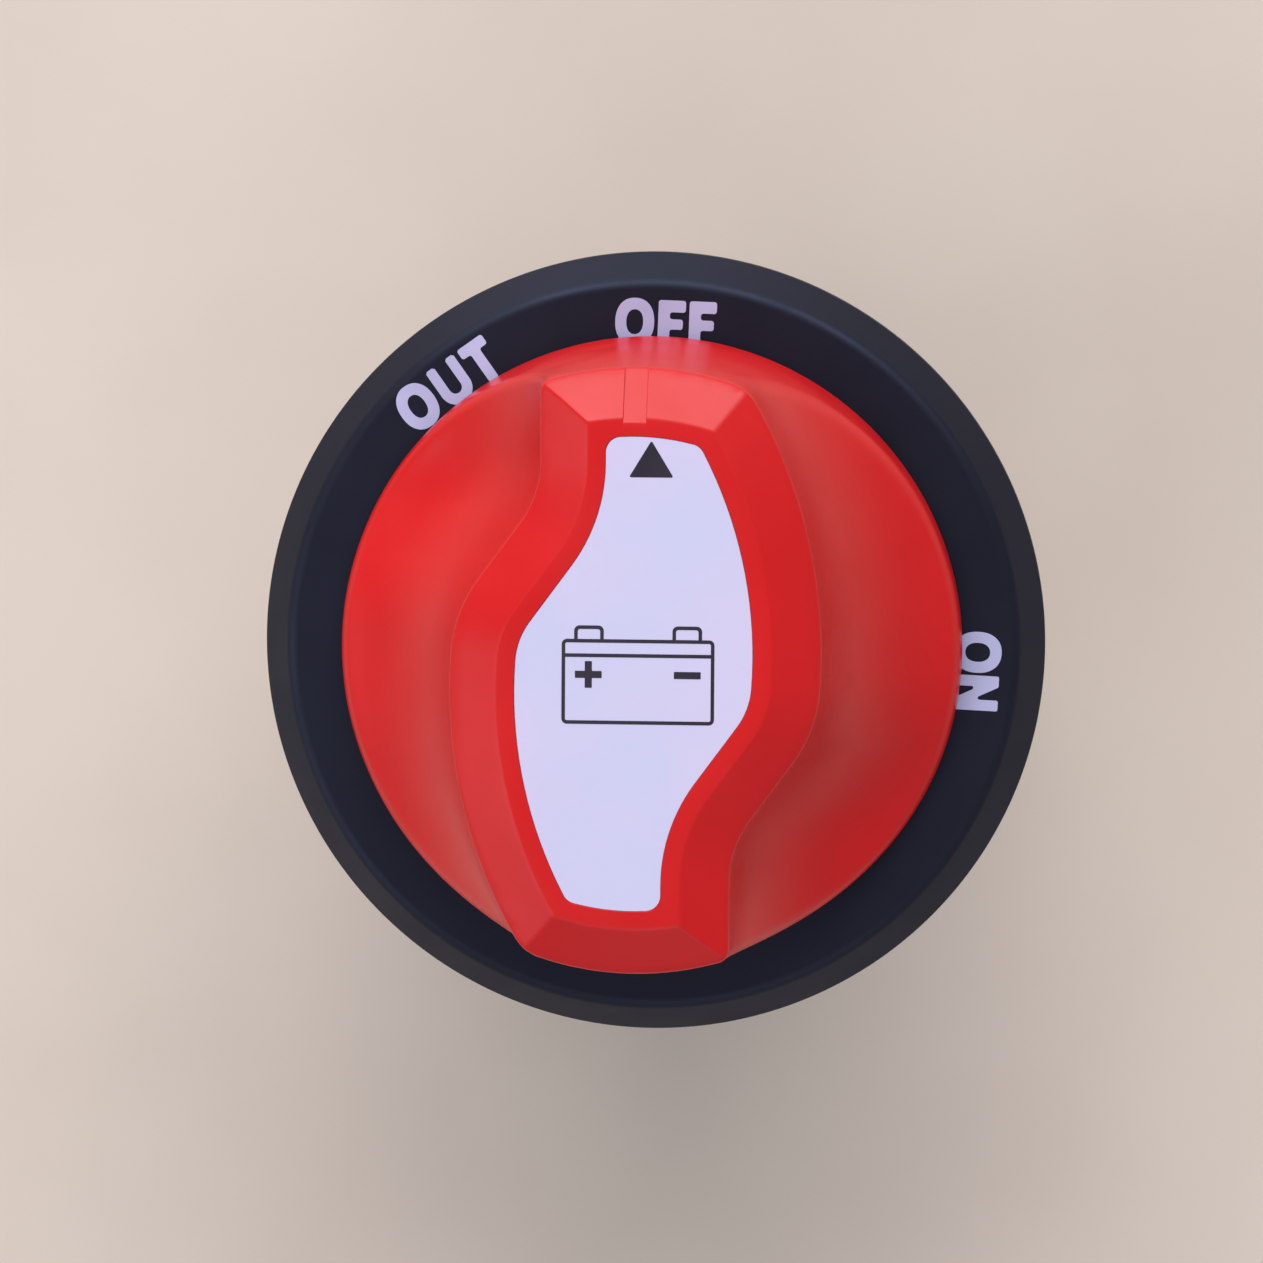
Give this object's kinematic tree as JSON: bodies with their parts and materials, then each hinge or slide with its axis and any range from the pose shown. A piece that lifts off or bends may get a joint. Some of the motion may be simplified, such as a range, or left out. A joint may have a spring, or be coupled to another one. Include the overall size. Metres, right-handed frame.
{
  "type": "battery switch",
  "caption": "Panel-mounted battery disconnect switch: round black bezel, removable red knob with an S-shaped grip and finger scoops, cylindrical housing and threaded rear studs.",
  "frame": {"origin": "centre of the bezel's rear face, on the knob's axis, at the face of the panel", "axes": "+Z along the knob's axis towards the user, +Y towards the OFF position, +X to the right towards the ON position"},
  "size_m": [0.069, 0.069, 0.076],
  "materials": {
    "bezel_black": "satin moulded nylon",
    "housing_black": "fine moulded texture",
    "rubber": "matt",
    "steel": "stainless",
    "spring_steel": "drawn wire and strip",
    "plated_copper": "tin plated",
    "brass": "turned",
    "silver": "silver alloy",
    "copper": "pressed copper",
    "rotor_nylon": "natural nylon",
    "knob_red": "semi-gloss",
    "stem_nylon": "glass-filled nylon",
    "label": "printed film"
  },
  "bodies": {
    "base": {"front_bezel": "bezel_black", "panel_gasket": "rubber", "switch_housing": "housing_black", "terminal_base": "housing_black", "base_seal": "rubber", "base_screws": "steel", "terminal_stud_a": "plated_copper", "terminal_stud_b": "plated_copper", "fixed_contact_tips": "silver", "stud_seals": "rubber", "flat_washers": "steel", "spring_washers": "steel", "stud_nuts": "brass", "detent_spring": "spring_steel"},
    "rotor": {"rotor": "rotor_nylon", "shaft_seal": "rubber", "contact_spring": "spring_steel", "spring_seat": "rotor_nylon", "contact_bridge": "copper", "bridge_tips": "silver", "knob_clip": "spring_steel"},
    "knob": {"knob": "knob_red", "knob_stem": "stem_nylon", "knob_screw": "steel", "knob_label": "label"}
  },
  "joints": [
    {"name": "knob_turn", "type": "hinge", "parent": "base", "child": "rotor", "pos_m": [0, 0, 0], "axis": [0, 0, 1], "range_deg": [-90, 42], "deforming": ["detent_spring"]},
    {"name": "knob_pull", "type": "slide", "parent": "rotor", "child": "knob", "axis": [0, 0, 1], "range_m": [0, 0.03], "deforming": ["knob_clip"]}
  ]
}
